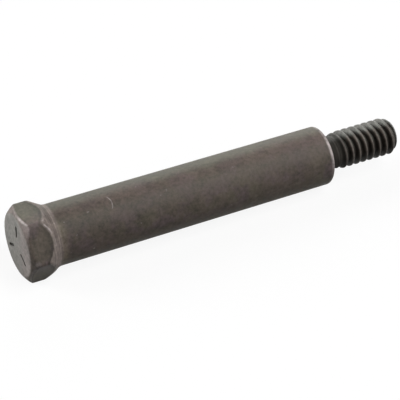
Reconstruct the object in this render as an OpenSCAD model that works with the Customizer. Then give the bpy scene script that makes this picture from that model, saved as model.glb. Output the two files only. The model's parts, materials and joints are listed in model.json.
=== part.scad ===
// Hex head shoulder bolt: one piece of steel, forged, turned, thread rolled.
// It lies along X with a flat of its head down. The origin is the centre of
// the shoulder's end face, the seat, and the threaded end points along +X.

/* [Head] */
// Width of the hexagon across its flats
hex_across_flats = 10.85; // [10:0.05:13]
// Height of the head, from its face to the start of the plain shoulder
head_height = 5.3; // [4:0.1:9]
// Distance from a flat in to the rim of the round face
face_inset = 0.5; // [0.2:0.05:1.5]
// Angle of the chamfer round the face, from the face
face_chamfer_angle = 33; // [15:1:45]
// Radius of the six edges between the flats
hex_edge_radius = 0.35; // [0.1:0.05:1]
// Angle of the cone under the head, from the axis
neck_cone_angle = 31; // [15:1:60]
// Radius of the hollow where the cone runs into the shoulder
cone_blend_radius = 1.8; // [0.3:0.1:3]

/* [Shoulder] */
// Diameter of the plain shoulder
shoulder_diameter = 9.65; // [8:0.05:10.4]
// Length of the plain shoulder, from the cone to the seat
shoulder_length = 47.6; // [6:0.1:150]
// Radius of the edge round the seat
seat_edge_radius = 0.4; // [0.1:0.05:1]

/* [Thread] */
// Outside diameter of the thread
thread_diameter = 6.15; // [5:0.05:7]
// Distance between neighbouring turns of the thread
thread_pitch = 1.27; // [0.8:0.01:1.6]
// Depth of the thread groove
thread_depth = 0.72; // [0.3:0.01:0.9]
// Length from the seat to the tip of the thread
thread_length = 13.35; // [8:0.05:50]
// Length of the plain neck between the seat and the thread
neck_length = 1.9; // [0.8:0.1:4]
// Radius of the hollow between the seat and the neck, which the thread's crests stay inside
neck_fillet_radius = 0.4; // [0.1:0.05:0.45]
// Length over which the thread grows out of the neck
runout_length = 1.6; // [0.5:0.1:3]
// Diameter of the flat end of the tip
tip_diameter = 4.5; // [3:0.1:4.9]
// Angle of the chamfer round the tip, from the axis
tip_chamfer_angle = 38; // [20:1:60]

/* [Hidden] */
steel = "#5a5350";
$fn = 96;
// Head
flat_r = hex_across_flats / 2;
face_r = flat_r - face_inset;
shoulder_r = shoulder_diameter / 2;
head_start = -shoulder_length - head_height;
cone_end = -shoulder_length;
chamfer_rise = tan(face_chamfer_angle);
cone_rise = 1 / tan(neck_cone_angle);
// Where the chamfer of the face and the cone under the head would meet
meet_r = (head_height + shoulder_r * cone_rise + face_r * chamfer_rise) / (chamfer_rise + cone_rise);
meet_z = head_start + (meet_r - face_r) * chamfer_rise;
// Length along cone and shoulder that the blend between them takes up
blend_run = cone_blend_radius * tan(neck_cone_angle / 2);
// Thread: the neck has the diameter of the blank, half way up the thread
crest_r = thread_diameter / 2;
root_r = crest_r - thread_depth;
neck_r = crest_r - thread_depth / 2;
tip_r = tip_diameter / 2;
// The thread starts inside the neck, a little below its surface
thread_step = 0.04;
thread_sunk = 0.17;
thread_start = neck_length - thread_sunk;
// Place in the pitch and share of the depth of each row of points over one turn
thread_profile = [[0, 0], [0.1, 0.06], [0.4, 0.92], [0.5, 1], [0.6, 0.92], [0.9, 0.06]];
rows = len(thread_profile);
columns = 36;
turns = ceil((thread_length - thread_start) / thread_pitch) + 1;
// Rows closer than this to an end of the thread are moved onto that end
row_gap = 0.05;

// Hexagon with rounded edges: its straight sides, and a circle in each corner.
module hexagon() {
    corner_at = (flat_r - hex_edge_radius) / cos(30);
    side = (flat_r - hex_edge_radius) * tan(30);
    polygon([for (k = [0:5], s = [-1, 1])
        [flat_r * cos(60 * k) - s * side * sin(60 * k), flat_r * sin(60 * k) + s * side * cos(60 * k)]]);
    for (k = [0:5])
        rotate(60 * k + 30)
            translate([corner_at, 0])
                circle(hex_edge_radius);
}

// Outline of the turned head: face, chamfer, and cone down to the shoulder.
module turned_head_outline() {
    polygon([
        [0, head_start],
        [face_r, head_start],
        [meet_r, meet_z],
        [shoulder_r, cone_end],
        [0, cone_end]
    ]);
}

// Hollow blend between the cone under the head and the shoulder.
module cone_blend_outline() {
    difference() {
        polygon([
            [shoulder_r - blend_run, cone_end],
            [shoulder_r + blend_run * sin(neck_cone_angle), cone_end - blend_run * cos(neck_cone_angle)],
            [shoulder_r, cone_end + blend_run]
        ]);
        translate([shoulder_r + cone_blend_radius, cone_end + blend_run])
            circle(cone_blend_radius);
    }
}

// Outline of the shoulder, with the rounded edge of its seat.
module shoulder_outline() {
    translate([0, cone_end])
        square([shoulder_r, shoulder_length - seat_edge_radius]);
    translate([0, cone_end])
        square([shoulder_r - seat_edge_radius, shoulder_length]);
    translate([shoulder_r - seat_edge_radius, -seat_edge_radius])
        circle(seat_edge_radius);
}

// Outline of the neck, with the hollow at its foot.
module neck_outline() {
    translate([0, -neck_fillet_radius])
        square([neck_r, neck_length + neck_fillet_radius]);
    difference() {
        translate([0, -neck_fillet_radius])
            square([neck_r + neck_fillet_radius, 2 * neck_fillet_radius]);
        translate([neck_r + neck_fillet_radius, neck_fillet_radius])
            circle(neck_fillet_radius);
    }
}

// Height of a point of the thread: each row climbs one pitch in a turn.
function row_z(i, j) =
    thread_start + thread_pitch * (i / columns - 1 + floor(j / rows) + thread_profile[j % rows][0]);

// First and last row that a column keeps between the two ends of the thread.
function first_row(i) = max([for (j = [0:2 * rows]) if (row_z(i, j) <= thread_start + row_gap) j]);
function last_row(i) = min([for (j = [0:turns * rows]) if (row_z(i, j) >= thread_length - row_gap) j]);

// Radius of the thread: it grows out of the neck and is cut down by the tip's chamfer.
function thread_r(j, z) =
    let (
        grown = min(1, max(0, (z - neck_length) / runout_length)),
        full_r = root_r + thread_depth * thread_profile[j % rows][1],
        chamfer_r = tip_r + (thread_length - z) * tan(tip_chamfer_angle)
    )
    min(neck_r - thread_step + grown * (full_r - neck_r + thread_step), chamfer_r);

function thread_point(i, j) =
    let (z = min(thread_length, max(thread_start, row_z(i, j))), r = thread_r(j, z))
    [r * cos(360 * i / columns), r * sin(360 * i / columns), z];

// Right-hand thread on its core, between two flat ends.
module thread() {
    last = turns * rows;
    low = [for (i = [0:columns - 1]) first_row(i)];
    high = [for (i = [0:columns - 1]) last_row(i)];
    points = [for (j = [0:last], i = [0:columns - 1]) thread_point(i, j)];
    // Past the last column a row goes on as the one a turn higher
    function at(i, j) =
        let (c = i % columns, k = i < columns ? j : j + rows)
        c + columns * min(high[c], max(low[c], k));
    triangles = [for (i = [0:columns - 1], j = [-rows:last])
        for (t = [[at(i, j), at(i, j + 1), at(i + 1, j)], [at(i + 1, j), at(i, j + 1), at(i + 1, j + 1)]])
            if (t[0] != t[1] && t[1] != t[2] && t[2] != t[0]) t];
    foot = [for (i = [0:columns - 1]) at(i, low[i])];
    tip = [for (i = [columns - 1:-1:0]) at(i, high[i])];
    polyhedron(points, concat(triangles, [foot, tip]));
}

module shoulder_bolt() {
    color(steel)
        rotate([0, 90, 0]) {
            intersection() {
                translate([0, 0, head_start])
                    linear_extrude(head_height + blend_run)
                        hexagon();
                rotate_extrude() {
                    turned_head_outline();
                    cone_blend_outline();
                }
            }
            rotate_extrude() {
                shoulder_outline();
                neck_outline();
            }
            thread();
        }
}

shoulder_bolt();
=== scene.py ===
"""Hex head shoulder bolt of dark oxide steel, lying on a pale floor."""
import json
import math

import bmesh
import bpy
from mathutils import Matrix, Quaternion, Vector, noise


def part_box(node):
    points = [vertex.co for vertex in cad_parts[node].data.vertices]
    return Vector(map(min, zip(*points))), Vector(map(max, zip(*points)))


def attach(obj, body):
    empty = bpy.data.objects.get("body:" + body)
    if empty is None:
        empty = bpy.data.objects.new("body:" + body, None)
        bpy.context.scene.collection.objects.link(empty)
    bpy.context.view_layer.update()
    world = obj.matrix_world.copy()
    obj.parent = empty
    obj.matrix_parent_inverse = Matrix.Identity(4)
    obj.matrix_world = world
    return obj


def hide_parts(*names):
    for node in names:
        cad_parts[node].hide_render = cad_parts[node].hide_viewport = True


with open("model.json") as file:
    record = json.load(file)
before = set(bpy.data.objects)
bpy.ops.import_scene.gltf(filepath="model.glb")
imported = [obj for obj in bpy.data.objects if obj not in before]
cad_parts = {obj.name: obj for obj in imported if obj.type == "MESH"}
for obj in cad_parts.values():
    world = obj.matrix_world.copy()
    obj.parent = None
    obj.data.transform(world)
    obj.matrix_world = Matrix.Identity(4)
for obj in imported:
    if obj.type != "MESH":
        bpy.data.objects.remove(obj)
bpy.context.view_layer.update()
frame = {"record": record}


# The bolt: one piece of steel. The head is forged to a hexagon, its face and cone, the
# shoulder and the seat are turned, and the thread is rolled. A dark oxide covers it all,
# rubbed thin on the edges and on the tool rings of the cone; the edges are also painted lighter as
# highlights.
MM = 0.001
TINY = 1e-7
bolt_low, bolt_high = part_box("shoulder_bolt")
mounts = {mount["name"]: mount for mount in frame["record"]["mounts"]}
face_x = bolt_low.x
tip_x = bolt_high.x
flat_r = bolt_high.z
shoulder_r = mounts["shoulder"]["dims"]["r_mm"] * MM
head_height = 5.3 * MM
cone_end = face_x + head_height
face_r = flat_r - 0.5 * MM
face_rim_softness = 0.3 * MM
hex_edge_softness = 0.3 * MM
hex_corner_r = 0.6 * MM
half_flat = math.radians(30)
chamfer_angle = 33
chamfer_rise = math.tan(math.radians(chamfer_angle))
cone_angle = 31
cone_rise = 1 / math.tan(math.radians(cone_angle))
cone_blend_r = 1.8 * MM
blend_run = cone_blend_r * math.tan(math.radians(cone_angle / 2))
seat_edge_r = 0.4 * MM
neck_fillet_r = 0.4 * MM
crest_r = 3.075 * MM
thread_depth = 0.72 * MM
root_r = crest_r - thread_depth
neck_r = crest_r - thread_depth / 2
thread_start = 1.73 * MM
sides = 216


def arc(x, r, radius, first, last, steps):
    """Points of a round stretch of the outline, from one angle to another, in degrees."""
    turns = [math.radians(first + (last - first) * i / steps) for i in range(steps + 1)]
    return [(x + radius * math.cos(turn), r + radius * math.sin(turn)) for turn in turns]


# The turned blank: a ring of points at the face, drawn out along the outline that the lathe cuts.
meet_r = (head_height + shoulder_r * cone_rise + face_r * chamfer_rise) / (chamfer_rise + cone_rise)
meet_x = face_x + (meet_r - face_r) * chamfer_rise
outline = [(face_x, face_r), (meet_x, meet_r)]
outline += arc(cone_end + blend_run, shoulder_r + cone_blend_r, cone_blend_r, 270 - cone_angle, 270, 8)
outline += arc(-seat_edge_r, shoulder_r - seat_edge_r, seat_edge_r, 90, 0, 6)
outline += arc(neck_fillet_r, neck_r + neck_fillet_r, neck_fillet_r, 180, 270, 6)
outline += [(thread_start, neck_r), (tip_x, neck_r)]

bpy.ops.object.select_all(action="DESELECT")
bpy.ops.mesh.primitive_circle_add(
    vertices=sides, radius=face_r, location=(face_x, 0, 0), rotation=(0, math.radians(90), 0))
bolt = bpy.context.object
bolt.name = "oxide_bolt"
bpy.ops.object.transform_apply(location=True, rotation=True, scale=True)
bpy.ops.object.mode_set(mode="EDIT")
bpy.ops.mesh.select_mode(type="EDGE")
bpy.ops.mesh.select_all(action="SELECT")
for (x0, r0), (x1, r1) in zip(outline, outline[1:]):
    bpy.ops.mesh.extrude_region_move(TRANSFORM_OT_translate={"value": (x1 - x0, 0, 0)})
    bpy.ops.transform.resize(value=(1, r1 / r0, r1 / r0), center_override=(x1, 0, 0))
bpy.ops.mesh.edge_face_add()


def pick_edges(wanted):
    """Selects the edges, of the mesh in edit mode, that wanted says yes to."""
    bpy.ops.mesh.select_all(action="DESELECT")
    shape = bmesh.from_edit_mesh(bpy.context.object.data)
    for edge in shape.edges:
        edge.select_set(wanted(edge))
    bmesh.update_edit_mesh(bpy.context.object.data)


def at_face(edge):
    return all(corner.co.x - face_x < TINY for corner in edge.verts)


pick_edges(at_face)
bpy.ops.mesh.edge_face_add()
bpy.ops.mesh.select_all(action="SELECT")
bpy.ops.mesh.normals_make_consistent(inside=False)

# The rim of the face is softened, and the chamfer and the cone get enough points for the hexagon.
face_rim_steps = 4
chamfer_cuts = 30
cone_cuts = 60
pick_edges(at_face)
bpy.ops.mesh.bevel(offset=face_rim_softness, segments=face_rim_steps, affect="EDGES", clamp_overlap=False)


def passes(edge, x):
    """Says whether an edge passes a place along the axis."""
    first, last = sorted(corner.co.x for corner in edge.verts)
    return first < x < last


pick_edges(lambda edge: passes(edge, meet_x - TINY))
bpy.ops.mesh.subdivide(number_cuts=chamfer_cuts)
pick_edges(lambda edge: passes(edge, meet_x + TINY))
bpy.ops.mesh.subdivide(number_cuts=cone_cuts)
bpy.ops.object.mode_set(mode="OBJECT")


def hexagon_r(turn):
    """Distance from the axis to the round-cornered hexagon, at a turn from straight up, in radians."""
    from_flat = abs((turn + half_flat) % (2 * half_flat) - half_flat)
    corner_at = (flat_r - hex_corner_r) / math.cos(half_flat)
    if flat_r * math.tan(from_flat) < corner_at * math.sin(half_flat):
        return flat_r / math.cos(from_flat)
    from_corner = half_flat - from_flat
    sideways = corner_at * math.sin(from_corner)
    return corner_at * math.cos(from_corner) + math.sqrt(hex_corner_r ** 2 - sideways ** 2)


# The six flats: the points of the head are drawn in to the hexagon, because no operator runs a flat
# into a cone as softly as the forging does. The edges are rubbed bright where a spanner has slipped
# and thin in patches elsewhere, and the corners between two flats keep most of their oxide. The
# same lighter edge colour is also a painted highlight, strongest on the upper edges that catch the light.
rub_and_highlight_grain = 0.3 / MM
rub_and_highlight_offset = Vector((98, 58, 6))
rub_and_highlight_most = 0.13
rub_and_highlight_patchy = 0.35
rub_and_highlight_width = 0.22 * MM
slips_and_highlights = ((Vector((-52.2, -1.4, 5.4)) * MM, 2.2 * MM), (Vector((-49.4, -3.4, 4.7)) * MM, 1.6 * MM))
slip_and_highlight_strength = 1.4
corner_rub_and_highlight = 0.15
corner_from = 1.135
corner_fade = 0.012

# Edge wear and painted highlights in one value: the bright spots and patches sit where the edges catch the
# light.
rub_and_highlight_values = bolt.data.attributes.new("worn_and_highlit", "FLOAT", "POINT")
for corner in bolt.data.vertices:
    if corner.co.x < cone_end - blend_run:
        turned_r = math.hypot(corner.co.y, corner.co.z)
        hex_r = hexagon_r(math.atan2(corner.co.y, corner.co.z))
        slope = 1 / chamfer_rise if corner.co.x < meet_x else 1 / cone_rise
        apart = abs(turned_r - hex_r) / slope
        overlap = max(0, 1 - apart / hex_edge_softness)
        radius = min(turned_r, hex_r) - hex_edge_softness * slope * overlap ** 2 / 4
        corner.co.y *= radius / turned_r
        corner.co.z *= radius / turned_r
        patch = min(1, noise.noise(corner.co * rub_and_highlight_grain + rub_and_highlight_offset) / rub_and_highlight_most)
        edge_rub_and_highlight = max(0, rub_and_highlight_patchy * patch)
        for slip_and_highlight_at, reach in slips_and_highlights:
            edge_rub_and_highlight = max(edge_rub_and_highlight, slip_and_highlight_strength * (1 - (corner.co - slip_and_highlight_at).length / reach))
        bare_and_highlit = min(1, max(corner_rub_and_highlight, (corner_from - hex_r / flat_r) / corner_fade))
        rub_and_highlight_values.data[corner.index].value = min(1, edge_rub_and_highlight) * bare_and_highlit * max(0, 1 - apart / rub_and_highlight_width)
bpy.ops.object.mode_set(mode="EDIT")

# The rolled thread: the points of the neck are moved onto a right-hand helix, because no operator
# wraps one round a tube. It grows out of the neck and is cut down by the chamfer of the tip.
pitch = 1.27 * MM
neck_length = 1.9 * MM
runout_length = 1.6 * MM
tip_r = 2.25 * MM
tip_angle = 38
tip_run = (crest_r - tip_r) / math.tan(math.radians(tip_angle))
tip_fullness = 0.65
crest_share = 0.15
flank_softness = 0.4
tip_crest = 0.97
thread_cuts = (15, 17)


def along_thread(edge):
    first, last = sorted(corner.co.x for corner in edge.verts)
    return first > thread_start - TINY and last - first > TINY


for cuts in thread_cuts:
    pick_edges(along_thread)
    bpy.ops.mesh.subdivide(number_cuts=cuts)
bpy.ops.object.mode_set(mode="OBJECT")


def thread_height(x, turn):
    """Height over the root, 0 to 1, at a place on the axis and a turn from straight down in radians."""
    share = ((x - thread_start) / pitch - turn / math.tau) % 1
    flank = (1 - abs(2 * share - 1) - crest_share) / (1 - 2 * crest_share)
    flank = min(1, max(0, flank))
    rounded = flank * flank * (3 - 2 * flank)
    return flank + flank_softness * (rounded - flank)


crests = bolt.data.attributes.new("crest", "FLOAT", "POINT")
for corner in bolt.data.vertices:
    x = corner.co.x
    if x > thread_start + TINY:
        height = thread_height(x, math.atan2(corner.co.y, -corner.co.z))
        grown = min(1, max(0, (x - neck_length) / runout_length))
        full_r = neck_r + grown * (root_r + thread_depth * height - neck_r)
        from_tip = min(1, max(0, (tip_x - x) / tip_run))
        end_r = tip_r + (crest_r - tip_r) * from_tip ** tip_fullness
        radius = min(full_r, end_r)
        crests.data[corner.index].value = height if radius < end_r else tip_crest
        shrink = radius / math.hypot(corner.co.y, corner.co.z)
        corner.co.y *= shrink
        corner.co.z *= shrink

# Three plain strokes, pressed into the face a third of a turn apart.
stroke_length = 2.1 * MM
stroke_width = 0.5 * MM
stroke_depth = 0.22 * MM
stroke_at = 2.5 * MM
stroke_softness = 0.4 * stroke_width
stroke_steps = 3
stroke_count = 3
strokes = []
for k in range(stroke_count):
    bpy.ops.object.select_all(action="DESELECT")
    bpy.ops.mesh.primitive_cube_add(size=1, location=(face_x, 0, stroke_at))
    stroke = bpy.context.object
    stroke.scale = (2 * stroke_depth, stroke_width, stroke_length)
    bpy.ops.object.transform_apply(location=True, rotation=True, scale=True)
    bpy.ops.object.mode_set(mode="EDIT")
    bpy.ops.mesh.select_all(action="SELECT")
    bpy.ops.mesh.bevel(offset=stroke_softness, segments=stroke_steps, affect="EDGES")
    bpy.ops.transform.rotate(value=-math.tau * k / stroke_count, orient_axis="X", center_override=(0, 0, 0))
    bpy.ops.object.mode_set(mode="OBJECT")
    strokes.append(stroke)
for stroke in strokes:
    stroke.select_set(True)
bpy.ops.object.join()
stamp = bpy.context.object
bpy.context.view_layer.objects.active = bolt
pressed = bolt.modifiers.new("pressed strokes", "BOOLEAN")
pressed.object = stamp
pressed.solver = "EXACT"
bpy.ops.object.modifier_apply(modifier=pressed.name)
bpy.data.objects.remove(stamp)

bpy.ops.object.select_all(action="DESELECT")
bolt.select_set(True)
bpy.ops.object.shade_smooth()
even = bolt.modifiers.new("even shading", "WEIGHTED_NORMAL")
even.weight = 100
bpy.ops.object.modifier_apply(modifier=even.name)


class Wire:
    """A node's output in a material's tree. Sums and products of wires add Math nodes."""

    def __init__(self, tree, socket=None):
        self.tree = tree
        self.socket = socket

    def node(self, kind, settings, sockets, output=0):
        """Adds a node: its settings come first, then the values or wires of its sockets."""
        made = self.tree.nodes.new(kind)
        for name, value in settings.items():
            setattr(made, name, value)
        for name, value in sockets.items():
            if isinstance(value, Wire):
                self.tree.links.new(value.socket, made.inputs[name])
            else:
                made.inputs[name].default_value = value
        return Wire(self.tree, made.outputs[output]) if made.outputs else None

    def math(self, operation, first, second):
        return self.node("ShaderNodeMath", {"operation": operation}, {0: first, 1: second})

    def __add__(self, other):
        return self.math("ADD", self, other)

    def __radd__(self, other):
        return self.math("ADD", other, self)

    def __sub__(self, other):
        return self.math("SUBTRACT", self, other)

    def __rsub__(self, other):
        return self.math("SUBTRACT", other, self)

    def __mul__(self, other):
        return self.math("MULTIPLY", self, other)

    def __rmul__(self, other):
        return self.math("MULTIPLY", other, self)

    def __abs__(self):
        return self.math("ABSOLUTE", self, 0)

    def rise(self, low, high):
        """0 below low, 1 above high and a soft step between them."""
        return self.node("ShaderNodeMapRange", {"interpolation_type": "SMOOTHSTEP"},
                         {"Value": self, "From Min": low, "From Max": high})

    def noise(self, scale, detail, roughness=0.5):
        """Noise in this wire's place, with its grain as a count per unit."""
        return self.node("ShaderNodeTexNoise", {},
                         {"Vector": self, "Scale": scale, "Detail": detail, "Roughness": roughness})

    def mixed(self, first, second):
        """A colour between two others, by this wire."""
        return self.node("ShaderNodeMix", {"data_type": "RGBA"}, {0: self, 6: first, 7: second}, 2)


# Its finish. Places are in millimetres, and the zones follow the lengths of the outline above.
oxide_brown = (0.098, 0.078, 0.066, 1)
oxide_olive = (0.095, 0.081, 0.063, 1)
oxide_violet = (0.102, 0.078, 0.077, 1)
oxide_russet = (0.101, 0.075, 0.066, 1)
painted_sheen_moss = (0.089, 0.084, 0.064, 1)
underside_shade_umber = (0.080, 0.066, 0.044, 1)
deep_oxide_and_shade = (0.020, 0.017, 0.015, 1)
bare_steel_and_highlight = (0.46, 0.405, 0.395, 1)
cone_steel = (0.25, 0.208, 0.188, 1)
blend_steel = (0.235, 0.198, 0.145, 1)
face_grey = (0.225, 0.215, 0.198, 1)
face_blush = (0.250, 0.205, 0.196, 1)
painted_sheen_grey = (0.185, 0.182, 0.170, 1)
crest_rub_and_highlight = (0.195, 0.176, 0.163, 1)
oxide_sheen = (0.87, 1.0, 0.86, 1)
oxide_ior = 1.27
surface_strength = 0.3
surface_depth = 0.02 * MM

# Places on the bolt in millimetres, their distance from the axis, and the two values kept in the mesh.
TO_MM = 1000
oxide = bpy.data.materials.new("dark_oxide_steel")
oxide.use_nodes = True
oxide.node_tree.nodes.clear()
start = Wire(oxide.node_tree)
here = start.node("ShaderNodeTexCoord", {}, {}, "Object")
place = start.node("ShaderNodeMapping", {}, {"Vector": here, "Scale": (TO_MM, TO_MM, TO_MM)})
along = start.node("ShaderNodeSeparateXYZ", {}, {"Vector": place}, "X")
side = start.node("ShaderNodeSeparateXYZ", {}, {"Vector": place}, "Y")
lift = start.node("ShaderNodeSeparateXYZ", {}, {"Vector": place}, "Z")
across = start.node("ShaderNodeMapping", {}, {"Vector": here, "Scale": (0, TO_MM, TO_MM)})
out = start.node("ShaderNodeVectorMath", {"operation": "LENGTH"}, {0: across}, "Value")
worn_and_highlit = start.node("ShaderNodeAttribute", {"attribute_name": "worn_and_highlit"}, {}, "Fac")
crest = start.node("ShaderNodeAttribute", {"attribute_name": "crest"}, {}, "Fac")

# Clouds in the oxide from wide patches to fine grain, and the fine rings and bands left by the lathe.
ring_grain = (3600, 60, 60)
band_grain = (1100, 90, 90)
stains_offset = (31, 7, 19)
patches = place.noise(0.13, 3, 0.6)
blotches = place.noise(0.42, 4, 0.65)
stains_place = start.node("ShaderNodeMapping", {}, {"Vector": place, "Location": stains_offset})
stains = stains_place.noise(0.3, 4, 0.6)
grain = place.noise(1.8, 4, 0.6)
rings_place = start.node("ShaderNodeMapping", {}, {"Vector": here, "Scale": ring_grain})
rings = rings_place.noise(1.0, 2)
bands_place = start.node("ShaderNodeMapping", {}, {"Vector": here, "Scale": band_grain})
bands = bands_place.noise(1.0, 2)

# Zones, each from 0 outside to 1 inside.
head_x = face_x / MM
neck_x = cone_end / MM
end_x = tip_x / MM
on_head = 1 - along.rise(neck_x, neck_x + 1.4)
on_face = 1 - along.rise(head_x + 0.03, head_x + 0.16)
chamfer_out = face_r / MM + (along - head_x) * (1 / chamfer_rise)
on_chamfer = 1 - abs(out - chamfer_out).rise(0.05, 0.15)
cone_out = shoulder_r / MM + (neck_x - along) * (1 / cone_rise)
on_cone = (1 - abs(out - cone_out).rise(0.15, 0.3)) * (1 - along.rise(neck_x - 0.1, neck_x + 1.0))
past_cone = along.rise(neck_x - 0.2, neck_x + 0.4) * (1 - along.rise(neck_x + 0.4, neck_x + 1.8))
on_rim = along.rise(-0.75, -0.35) * (1 - along.rise(-0.06, 0.0)) * out.rise(4.2, 4.5)
in_thread = along.rise(0.0, 0.2)
near_tip = along.rise(end_x - 1.3, end_x - 0.5)
in_groove = along.rise(1.8, 3.2) * (1 - crest.rise(0.5, 1.0)) * (1 - 0.75 * near_tip)
in_neck = in_thread * (1 - along.rise(2.3, 4.2)) * (1 - 0.45 * side.rise(0.3, 2.2))
at_tip = along.rise(end_x - 0.8, end_x - 0.35)
thread_top_sheen = in_thread * (lift + 0.5 * side).rise(1.9, 2.9) * (1 - 0.35 * in_neck)
under_cone = 1 - abs(cone_out - out - 0.3).rise(0.1, 0.3)
shade_beside_cone = on_head * under_cone * along.rise(head_x + 1.5, head_x + 2.0)
shade_beside_face = on_chamfer * (1 - on_face) * (1 - lift.rise(1.0, 4.0))
pressed_in = along.rise(head_x + 0.03, head_x + 0.12) * (1 - along.rise(head_x + 0.4, head_x + 0.6))
in_stroke = pressed_in * (1 - out.rise(4.1, 4.2))

# Tints, one over the other: the oxide's own browns, with a painted greenish sheen on the upper back side
# and painted shade towards the underside, then the face, the chamfer with painted light and shade, and the
# turned cone.
tint = (patches.rise(0.4, 0.65) * (1 - in_thread) * (1 - 0.7 * on_head)).mixed(oxide_brown, oxide_olive)
tint = (stains.rise(0.42, 0.6) * (0.9 - 0.9 * in_thread)).mixed(tint, oxide_violet)
blush = (0 - side).rise(0.0, 3.0) * (0.6 + 0.8 * (stains - 0.5))
tint = (0.55 * lift.rise(1.5, 3.5) * (1 - on_head)).mixed(tint, oxide_russet)
# Painted sheen: a greenish tint over the upper back side, where the back lamp's sheen lies.
sheen_lift = lift + 0.4 * side + 1.5 * (patches - 0.5) + 0.9 * (blotches - 0.5)
tint = (sheen_lift.rise(4.25, 5.25) * 0.85).mixed(tint, painted_sheen_moss)
# Painted shade: darker and browner towards the underside.
tint = ((0 - lift).rise(0.0, 3.0) * 0.8).mixed(tint, underside_shade_umber)
tint = on_face.mixed(tint, blush.mixed(face_grey, face_blush))
# The chamfer takes a little of the face's blush all round and more on its upper side, which is painted
# light.
tint = (on_chamfer * (1 - on_face) * (0.1 + 0.5 * lift.rise(1.5, 4.5))).mixed(tint, face_blush)
# Painted shade: darker on the lower chamfer beside the face and in a band on the flats beside the cone's
# arcs.
tint = (0.35 * shade_beside_cone + 0.4 * shade_beside_face).mixed(tint, deep_oxide_and_shade)
upper_cone = lift.rise(2.0, 4.2)
cone_rings = (3.2 - 1.6 * upper_cone) * (rings - 0.5)
tint = (on_cone * (0.82 - 0.26 * upper_cone + cone_rings)).mixed(tint, cone_steel)
tint = (0.38 * past_cone * (1 - lift.rise(3.4, 4.6))).mixed(tint, blend_steel)


def away(point):
    """Distance from a point of the bolt."""
    return start.node("ShaderNodeVectorMath", {"operation": "DISTANCE"}, {0: place, 1: point}, "Value")


# Bare steel: one curved scratch and a few specks, a painted highlight on the near corner of the head, and
# the rubbed edges, which also carry painted highlights.
scratch_at = (-38.08, -1.86, 4.45)
scratch_centre = (-40.06, -1.86, 4.45)
scratch_bend = 1.98
specks = (((-29.19, -2.46, 4.15), 0.30), ((-42.20, -2.32, 4.23), 0.25),
          ((-34.55, -4.68, 1.16), 0.22), ((-42.46, -4.76, -0.80), 0.35))
near_corner_highlight_at = (-52.03, -6.02, 0.25)
rim_slip_and_highlight_at = (-0.2, -3.4, 3.2)
scratch_end = 1 - away(scratch_at).rise(0.9, 1.3)
scratch = scratch_end * (1 - abs(away(scratch_centre) - scratch_bend).rise(0.04, 0.12)) * 0.45
nicks = place.noise(1.3, 2).rise(0.70, 0.80) * 0.4
for point, reach in specks:
    nicks = nicks + (1 - away(point).rise(0.3 * reach, reach)) * 0.45
flecks = place.noise(5.0, 3).rise(0.4, 0.6)
# Painted highlight: a soft bright spot on the near lower corner of the head.
near_corner_highlight = (1 - away(near_corner_highlight_at).rise(0.1, 0.7)) * 0.3
tint = (nicks * flecks + scratch + near_corner_highlight).mixed(tint, bare_steel_and_highlight)
# The seat rim and the edges: partly wear, partly painted highlight, brightest at the upper front of the
# rim.
rim_slip_and_highlight = 1 - away(rim_slip_and_highlight_at).rise(0.8, 3.2)
rubbed_and_highlit = worn_and_highlit + on_rim * (0.2 + 0.35 * blotches.rise(0.4, 0.6) + 0.7 * rim_slip_and_highlight)
tint = rubbed_and_highlit.mixed(tint, bare_steel_and_highlight)

# The thread: deep oxide with painted shade in its grooves and neck, rubbed crests painted lighter as
# highlights, and a painted grey sheen on its upper side and its tip.
# Deep oxide in the grooves and the neck, darkened further as painted shade across the flanks and next to
# the seat.
tint = (0.83 * in_groove + 0.95 * in_neck).mixed(tint, deep_oxide_and_shade)
# The crests: rubbed thin, and lighter as a painted highlight along their edges.
on_crest = in_thread * crest.rise(0.9, 1.0) * (1 - 0.7 * in_neck)
dull_turns = along.rise(6.5, 8.0) * (1 - along.rise(10.8, 11.8))
tint = (on_crest * (0.52 - 0.22 * dull_turns)).mixed(tint, crest_rub_and_highlight)
# Painted sheen: light grey over the upper back side of the thread, and painted light on the chamfer of the
# tip.
tint = (0.85 * thread_top_sheen + 0.75 * at_tip).mixed(tint, painted_sheen_grey)
tint = in_stroke.mixed(tint, deep_oxide_and_shade)

# Light and dark mottling over it all, and how rough and uneven the oxide is.
paler = (1 - on_head) * (0.2 * along.rise(-52, -8) - 0.13)
mottle = 1 + 1.2 * (blotches - 0.5) + 1.5 * (grain - 0.5) + on_head * 0.8 * (bands - 0.5) + paler
shade = start.node("ShaderNodeCombineColor", {}, {"Red": mottle, "Green": mottle, "Blue": mottle})
tint = start.node("ShaderNodeMix", {"data_type": "RGBA", "blend_type": "MULTIPLY"},
                  {0: 1.0, 6: tint, 7: shade}, 2)
roughness = 0.5 + 0.3 * (grain - 0.5) + 0.2 * (blotches - 0.5)
roughness = roughness - 0.1 * rubbed_and_highlit - 0.12 * in_thread + 0.4 * in_neck
height = 0.5 * grain + 0.35 * blotches + 0.4 * on_cone * rings
surface = start.node("ShaderNodeBump", {}, {
    "Strength": surface_strength,
    "Distance": surface_depth,
    "Height": height})
steel = start.node("ShaderNodeBsdfPrincipled", {}, {
    "Base Color": tint,
    "Roughness": roughness,
    "Normal": surface,
    "IOR": oxide_ior,
    "Specular Tint": oxide_sheen})
start.node("ShaderNodeOutputMaterial", {}, {"Surface": steel})
bolt.data.materials.clear()
bolt.data.materials.append(oxide)
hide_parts("shoulder_bolt")
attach(bolt, "root")


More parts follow.
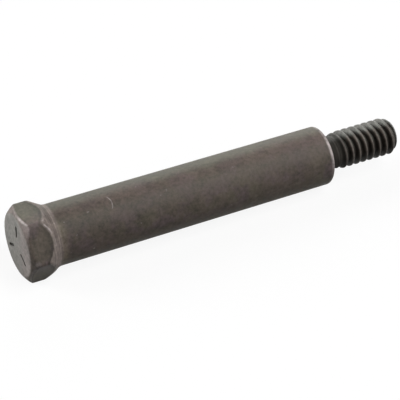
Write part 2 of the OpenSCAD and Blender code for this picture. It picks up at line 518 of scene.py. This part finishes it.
# The floor: a plain pale sheet under the bolt, which lies on a flat of its head and on the end
# of its shoulder, so the sheet leans by the little that the head stands out. It is white to the
# eye and in reflections, and it keeps the bolt's shadow.
floor_size = 4.0
floor_pale = (0.92, 0.92, 0.92, 1)
floor_dim = (0.03, 0.03, 0.03, 1)
pure_white = (1, 1, 1, 1)
head_rest_x = cone_end - 1.0 * MM
seat_rest_x = -seat_edge_r
floor_lean = math.atan2(flat_r - shoulder_r, seat_rest_x - head_rest_x)
bpy.ops.object.select_all(action="DESELECT")
bpy.ops.mesh.primitive_plane_add(size=floor_size, location=(head_rest_x, 0, -flat_r))
floor = bpy.context.object
floor.name = "floor"
floor.rotation_euler.y = -floor_lean
floor_paint = bpy.data.materials.new("pale_floor")
floor_paint.use_nodes = True
floor_paint.node_tree.nodes.clear()
start = Wire(floor_paint.node_tree)


def shows_white(start):
    """1 for the eye, for reflections and for what is seen through glass, and 0 for soft light."""
    rays = [start.node("ShaderNodeLightPath", {}, {}, kind)
            for kind in ("Is Camera Ray", "Is Glossy Ray", "Is Transmission Ray")]
    return start.math("MINIMUM", rays[0] + rays[1] + rays[2], 1)


lit = start.node("ShaderNodeBsdfDiffuse", {}, {"Color": floor_pale})
dim = start.node("ShaderNodeBsdfDiffuse", {}, {"Color": floor_dim})
white = start.node("ShaderNodeEmission", {}, {"Color": pure_white, "Strength": 1.0})
for_eye = start.node("ShaderNodeLightPath", {}, {}, "Is Camera Ray")
white_share = 0.25 + 0.65 * for_eye
seen = start.node("ShaderNodeMixShader", {}, {0: white_share, 1: lit, 2: white})
sheet = start.node("ShaderNodeMixShader", {}, {0: shows_white(start), 1: dim, 2: seen})
start.node("ShaderNodeOutputMaterial", {}, {"Surface": sheet})
floor.data.materials.append(floor_paint)


# The light: four soft lamps in an even pale room. One hangs overhead, one stands beside the face
# of the head, one in front, and one low behind, whose sheen lies on the upper side of the steel.
lamp_spread = math.radians(30)
room_level = 0.03
for name, lamp_from, level in (
        ("overhead_lamp", Vector((0.40, -0.30, 0.86)), 0.48),
        ("side_lamp", Vector((-0.80, 0.45, 0.40)), 0.86),
        ("front_lamp", Vector((0.35, -0.70, 0.62)), 0.33),
        ("back_lamp", Vector((0.38, 0.80, 0.45)), 0.26)):
    bpy.ops.object.light_add(type="SUN", location=lamp_from)
    lamp = bpy.context.object
    lamp.name = name
    lamp.rotation_euler = lamp_from.to_track_quat("Z", "Y").to_euler()
    lamp.data.energy = level * math.pi
    lamp.data.angle = lamp_spread

room = bpy.data.worlds.new("pale_room")
bpy.context.scene.world = room
room.use_nodes = True
room.node_tree.nodes.clear()
start = Wire(room.node_tree)
soft = start.node("ShaderNodeBackground", {}, {"Color": pure_white, "Strength": room_level})
white = start.node("ShaderNodeBackground", {}, {"Color": pure_white, "Strength": 1.0})
light = start.node("ShaderNodeMixShader", {}, {0: shows_white(start), 1: soft, 2: white})
start.node("ShaderNodeOutputWorld", {}, {"Surface": light})
bpy.context.scene.view_settings.view_transform = "Standard"


# The camera: a long lens a hand's length above the bolt, to the left of it and in front.
azimuth = math.radians(-28.69)
elevation = math.radians(36.34)
roll = math.radians(1.22)
target = Vector((-22.38, -0.873, -1.038)) * MM
distance = 262 * MM
lens_length = 150.75
level_share = math.cos(elevation)
back = Vector((math.sin(azimuth) * level_share, -math.cos(azimuth) * level_share, math.sin(elevation)))
bpy.ops.object.camera_add(location=target + distance * back)
camera = bpy.context.object
camera.rotation_euler = (back.to_track_quat("Z", "Y") @ Quaternion((0, 0, 1), roll)).to_euler()
camera.data.sensor_width = 36
camera.data.lens = lens_length
camera.data.clip_start = 0.01
bpy.context.scene.camera = camera
